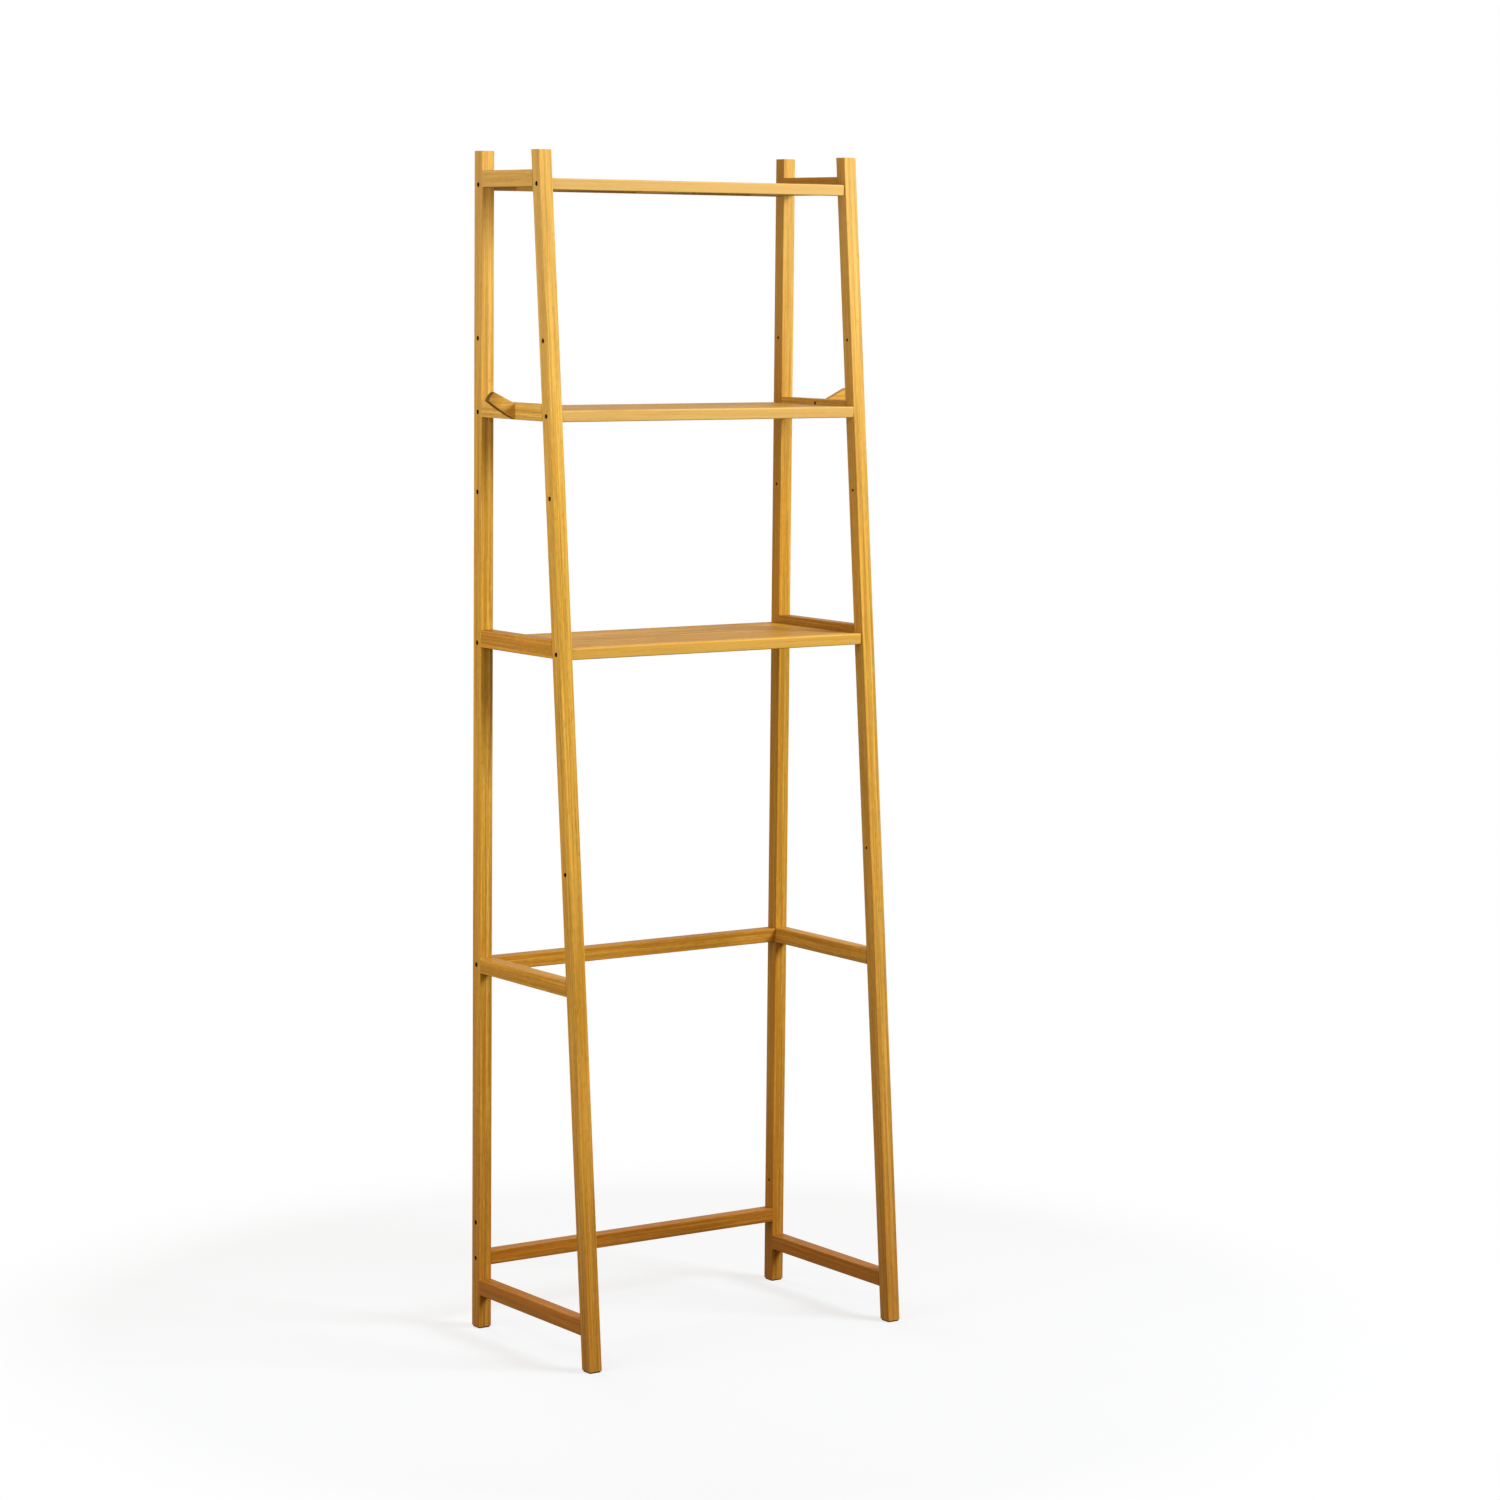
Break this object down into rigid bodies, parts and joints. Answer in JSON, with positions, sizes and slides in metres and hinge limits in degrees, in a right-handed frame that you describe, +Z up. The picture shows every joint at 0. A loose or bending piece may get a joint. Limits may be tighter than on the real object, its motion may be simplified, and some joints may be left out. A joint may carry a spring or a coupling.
{
  "type": "over the toilet storage rack",
  "caption": "Tall open bamboo rack with leaning front legs, slatted shelves above a clear bay for a toilet, tie rails low at the back and a wooden hook on each side.",
  "frame": {"origin": "on the floor under the middle of the rack", "axes": "+Z up, +X to the right as seen from the front, +Y from the front towards the wall"},
  "size_m": [0.594, 0.299, 1.6],
  "materials": {
    "frame_bamboo": "clear satin lacquer on bamboo",
    "shelf_bamboo": "clear satin lacquer on bamboo",
    "hook_bamboo": "clear satin lacquer on bamboo",
    "dowel_wood": "bare wood",
    "screw_steel": "dark bronze plated",
    "pad_rubber": "matt"
  },
  "bodies": {
    "root": {"back_rail_screws": "screw_steel", "batten_dowels": "dowel_wood", "floor_back_rail": "frame_bamboo", "hook_screws": "screw_steel", "left_back_foot_pad": "pad_rubber", "left_back_leg": "frame_bamboo", "left_floor_side_rail": "frame_bamboo", "left_front_foot_pad": "pad_rubber", "left_front_leg": "frame_bamboo", "left_hook": "hook_bamboo", "left_lower_side_rail": "frame_bamboo", "left_middle_side_rail": "frame_bamboo", "left_tank_side_rail": "frame_bamboo", "left_top_side_rail": "frame_bamboo", "lower_shelf_back_rail": "shelf_bamboo", "lower_shelf_front_rail": "shelf_bamboo", "lower_shelf_left_batten": "shelf_bamboo", "lower_shelf_middle_batten": "shelf_bamboo", "lower_shelf_right_batten": "shelf_bamboo", "lower_shelf_slat_1": "shelf_bamboo", "lower_shelf_slat_2": "shelf_bamboo", "lower_shelf_slat_3": "shelf_bamboo", "lower_shelf_slat_4": "shelf_bamboo", "lower_shelf_slat_5": "shelf_bamboo", "lower_shelf_slat_6": "shelf_bamboo", "middle_shelf_back_rail": "shelf_bamboo", "middle_shelf_front_rail": "shelf_bamboo", "middle_shelf_left_batten": "shelf_bamboo", "middle_shelf_middle_batten": "shelf_bamboo", "middle_shelf_right_batten": "shelf_bamboo", "middle_shelf_slat_1": "shelf_bamboo", "middle_shelf_slat_2": "shelf_bamboo", "middle_shelf_slat_3": "shelf_bamboo", "middle_shelf_slat_4": "shelf_bamboo", "middle_shelf_slat_5": "shelf_bamboo", "rail_dowels": "dowel_wood", "right_back_foot_pad": "pad_rubber", "right_back_leg": "frame_bamboo", "right_floor_side_rail": "frame_bamboo", "right_front_foot_pad": "pad_rubber", "right_front_leg": "frame_bamboo", "right_hook": "hook_bamboo", "right_lower_side_rail": "frame_bamboo", "right_middle_side_rail": "frame_bamboo", "right_tank_side_rail": "frame_bamboo", "right_top_side_rail": "frame_bamboo", "shelf_screws": "screw_steel", "slat_screws": "screw_steel", "tank_back_rail": "frame_bamboo", "top_shelf_back_rail": "shelf_bamboo", "top_shelf_front_rail": "shelf_bamboo", "top_shelf_left_batten": "shelf_bamboo", "top_shelf_middle_batten": "shelf_bamboo", "top_shelf_right_batten": "shelf_bamboo", "top_shelf_slat_1": "shelf_bamboo", "top_shelf_slat_2": "shelf_bamboo", "top_shelf_slat_3": "shelf_bamboo", "top_shelf_slat_4": "shelf_bamboo"}
  },
  "joints": []
}
